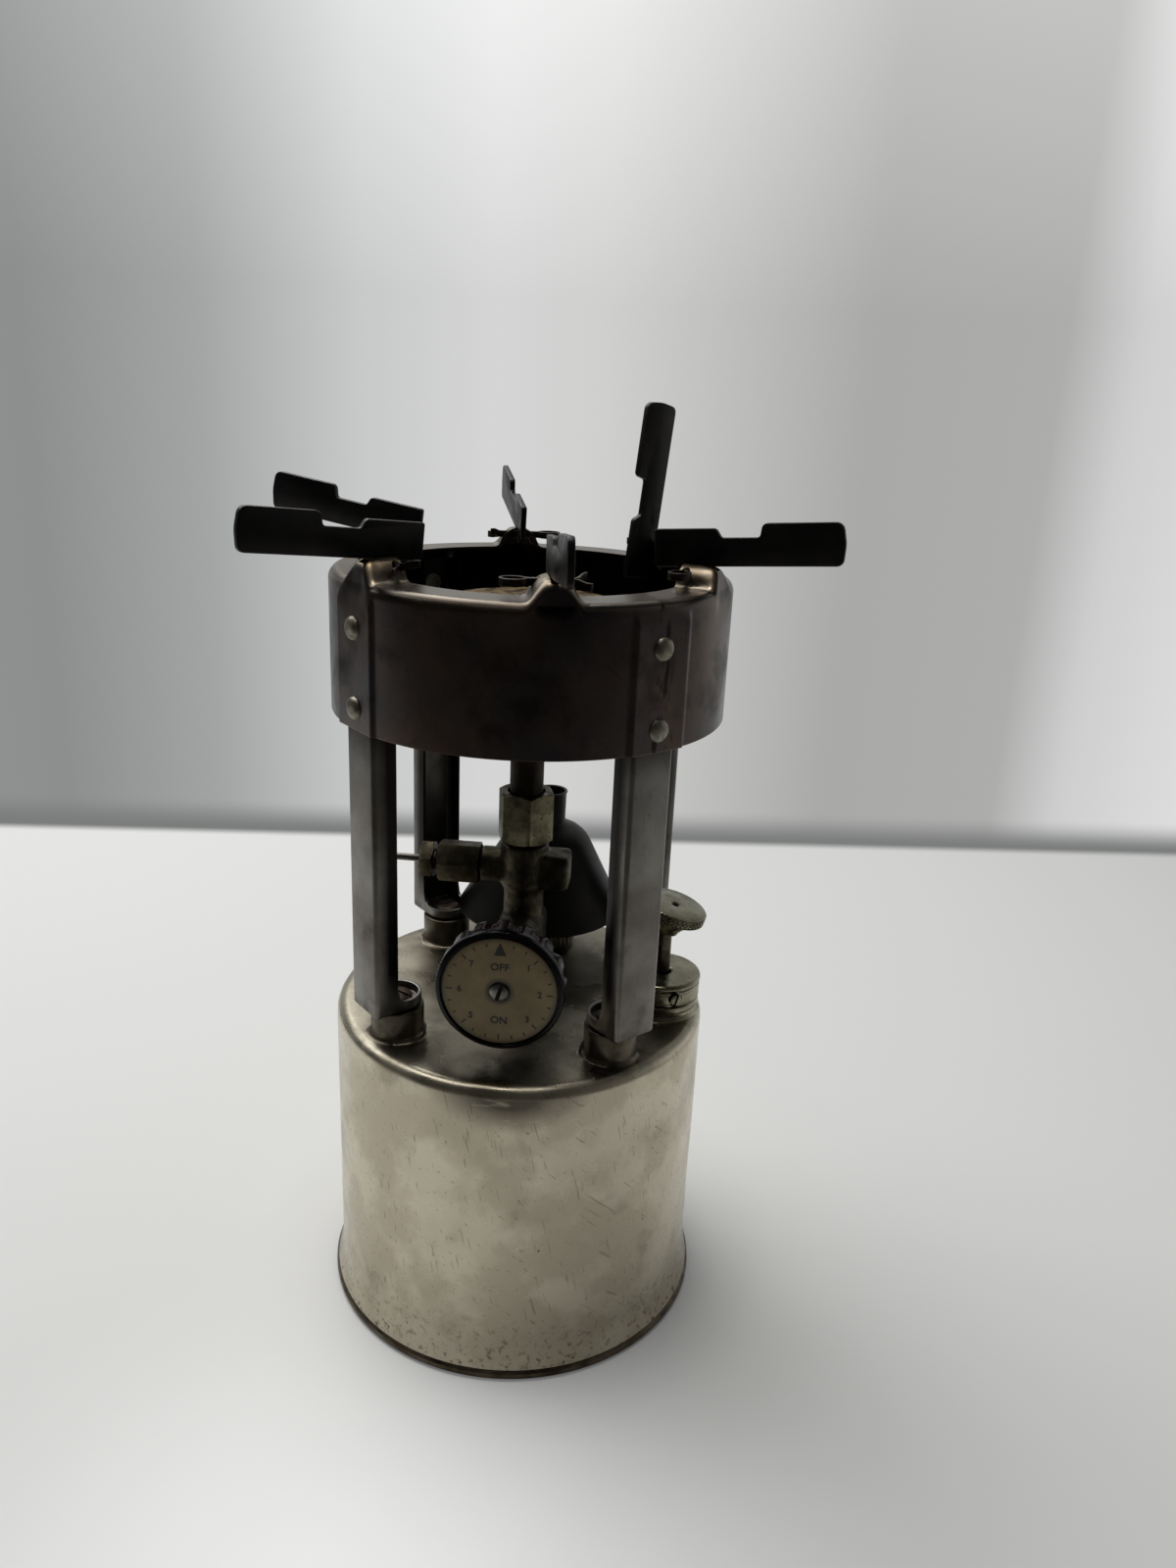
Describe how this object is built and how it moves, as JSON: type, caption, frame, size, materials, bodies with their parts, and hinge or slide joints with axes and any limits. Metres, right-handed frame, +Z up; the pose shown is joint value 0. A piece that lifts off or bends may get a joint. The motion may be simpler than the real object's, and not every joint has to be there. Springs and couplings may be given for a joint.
{
  "type": "single burner camp stove",
  "caption": "Pocket liquid-fuel camp stove: round plated tank with hand pump and valve knob, legs carrying a ring burner case with folding grate arms, filling funnel stowed at the back.",
  "frame": {"origin": "on the supporting surface under the centre of the stove's box; the tank's axis is at x 0, y 0", "axes": "+Z up along the tank's axis, -Y towards the valve knob, +X towards the pump"},
  "size_m": [0.1432, 0.1434, 0.237],
  "materials": {
    "nickel": "tarnished nickel plate",
    "tin": "dull tinned steel",
    "satin_nickel": "satin nickel plate",
    "scorched": "heat-blackened sheet steel",
    "black_steel": "blackened steel",
    "zinc": "zinc plated steel",
    "steel": "plain steel",
    "brass": "dull brass",
    "valve_brass": "cast brass, darkened",
    "burner_brass": "heat-stained brass",
    "burner_steel": "heat-stained steel",
    "bakelite": "glossy maroon moulding",
    "cream": "aged cream enamel",
    "rubber": "black rubber",
    "leather": "oiled leather",
    "dark_sheet": "darkened sheet steel"
  },
  "bodies": {
    "stove": {"fuel_tank": "nickel", "tank_base": "nickel", "fuel_pickup_tube": "brass", "post_left_front": "tin", "post_right_front": "tin", "post_right_rear": "tin", "post_left_rear": "tin", "leg_left_front": "satin_nickel", "leg_right_front": "satin_nickel", "leg_right_rear": "satin_nickel", "leg_left_rear": "satin_nickel", "foot_screw_left_front": "zinc", "foot_screw_right_front": "zinc", "foot_screw_right_rear": "zinc", "foot_screw_left_rear": "zinc", "burner_case": "scorched", "split_pin_1": "zinc", "split_pin_2": "zinc", "split_pin_3": "zinc", "split_pin_4": "zinc", "split_pin_5": "zinc", "split_pin_6": "zinc", "burner_bracket": "scorched", "mixing_tube": "brass", "burner_bowl": "burner_brass", "flame_rings": "burner_steel", "burner_cap": "burner_steel", "burner_cap_screw": "burner_steel", "valve_body": "valve_brass", "valve_packing_nut": "valve_brass", "generator_nut": "valve_brass", "generator_tube": "valve_brass", "gas_tip": "brass", "cleaner_gland": "valve_brass", "cleaner_packing_nut": "valve_brass", "pump_barrel": "brass", "check_valve": "brass", "pump_cap": "nickel", "pump_cap_screw": "zinc", "filler_neck": "brass"},
    "grate_arm_1": {"grate_arm_1": "black_steel"},
    "grate_arm_2": {"grate_arm_2": "black_steel"},
    "grate_arm_3": {"grate_arm_3": "black_steel"},
    "grate_arm_4": {"grate_arm_4": "black_steel"},
    "grate_arm_5": {"grate_arm_5": "black_steel"},
    "grate_arm_6": {"grate_arm_6": "black_steel"},
    "valve_knob": {"valve_knob": "bakelite", "knob_disc": "cream", "knob_screw": "steel", "valve_stem": "steel"},
    "cleaner_rod": {"cleaner_rod": "steel"},
    "tip_needle": {"tip_needle": "steel"},
    "pump_slider": {"pump_leather": "leather", "leather_nut": "brass"},
    "pump_handle": {"pump_rod": "nickel", "pump_knob": "nickel"},
    "air_stem": {"air_stem": "steel"},
    "filler_seal": {"filler_gasket": "rubber"},
    "filler_cap": {"filler_cap": "nickel"},
    "funnel": {"funnel": "dark_sheet"}
  },
  "joints": [
    {"name": "arm_1_fold", "type": "hinge", "parent": "stove", "child": "grate_arm_1", "pos_m": [0.01017, -0.03796, 0.2012], "axis": [-0.9659, -0.2588, 0], "range_deg": [0, 124]},
    {"name": "arm_2_fold", "type": "hinge", "parent": "stove", "child": "grate_arm_2", "pos_m": [0.03796, -0.01017, 0.2012], "axis": [-0.2588, -0.9659, 0], "range_deg": [0, 124]},
    {"name": "arm_3_fold", "type": "hinge", "parent": "stove", "child": "grate_arm_3", "pos_m": [0.02779, 0.02779, 0.2012], "axis": [0.7071, -0.7071, 0], "range_deg": [-77.4, 46.6]},
    {"name": "arm_4_fold", "type": "hinge", "parent": "stove", "child": "grate_arm_4", "pos_m": [-0.01017, 0.03796, 0.2012], "axis": [0.9659, 0.2588, 0], "range_deg": [0, 124]},
    {"name": "arm_5_fold", "type": "hinge", "parent": "stove", "child": "grate_arm_5", "pos_m": [-0.03796, 0.01017, 0.2012], "axis": [0.2588, 0.9659, 0], "range_deg": [-1.5, 122.5]},
    {"name": "arm_6_fold", "type": "hinge", "parent": "stove", "child": "grate_arm_6", "pos_m": [-0.02779, -0.02779, 0.2012], "axis": [-0.7071, 0.7071, 0], "range_deg": [0, 124]},
    {"name": "knob_turn", "type": "hinge", "parent": "stove", "child": "valve_knob", "pos_m": [0, 0, 0.104], "axis": [0.0227, -0.9997, 0], "range_deg": [0, 450]},
    {"name": "cleaner_turn", "type": "hinge", "parent": "stove", "child": "cleaner_rod", "pos_m": [0, 0, 0.1205], "axis": [-0.9997, -0.0227, 0], "range_deg": [0, 90]},
    {"name": "needle_lift", "type": "slide", "parent": "stove", "child": "tip_needle", "axis": [0, 0, 1], "range_m": [0, 0.0012]},
    {"name": "pump_slide", "type": "slide", "parent": "stove", "child": "pump_slider", "axis": [0, 0, 1], "range_m": [-0.0109, 0.042]},
    {"name": "pump_turn", "type": "hinge", "parent": "pump_slider", "child": "pump_handle", "pos_m": [0.0376, 0, 0.1], "axis": [0, 0, 1], "range_deg": [0, 360]},
    {"name": "air_stem_turn", "type": "hinge", "parent": "stove", "child": "air_stem", "pos_m": [0.0376, 0, 0.05], "axis": [0, 0, 1], "range_deg": [0, 360]},
    {"name": "filler_rise", "type": "slide", "parent": "stove", "child": "filler_seal", "axis": [0, 0, 1], "range_m": [0, 0.0032]},
    {"name": "filler_turn", "type": "hinge", "parent": "filler_seal", "child": "filler_cap", "pos_m": [0, 0.031, 0.09], "axis": [0, 0, 1], "range_deg": [0, 900]},
    {"name": "funnel_pull", "type": "slide", "parent": "stove", "child": "funnel", "axis": [0, 1, 0], "range_m": [0, 0.08]}
  ],
  "couplings": [
    {"joint": "needle_lift", "follows": "cleaner_turn", "m_per_rad": 0.00076},
    {"joint": "air_stem_turn", "follows": "pump_turn", "ratio": 1},
    {"joint": "filler_rise", "follows": "filler_turn", "m_per_rad": 0.0002}
  ]
}
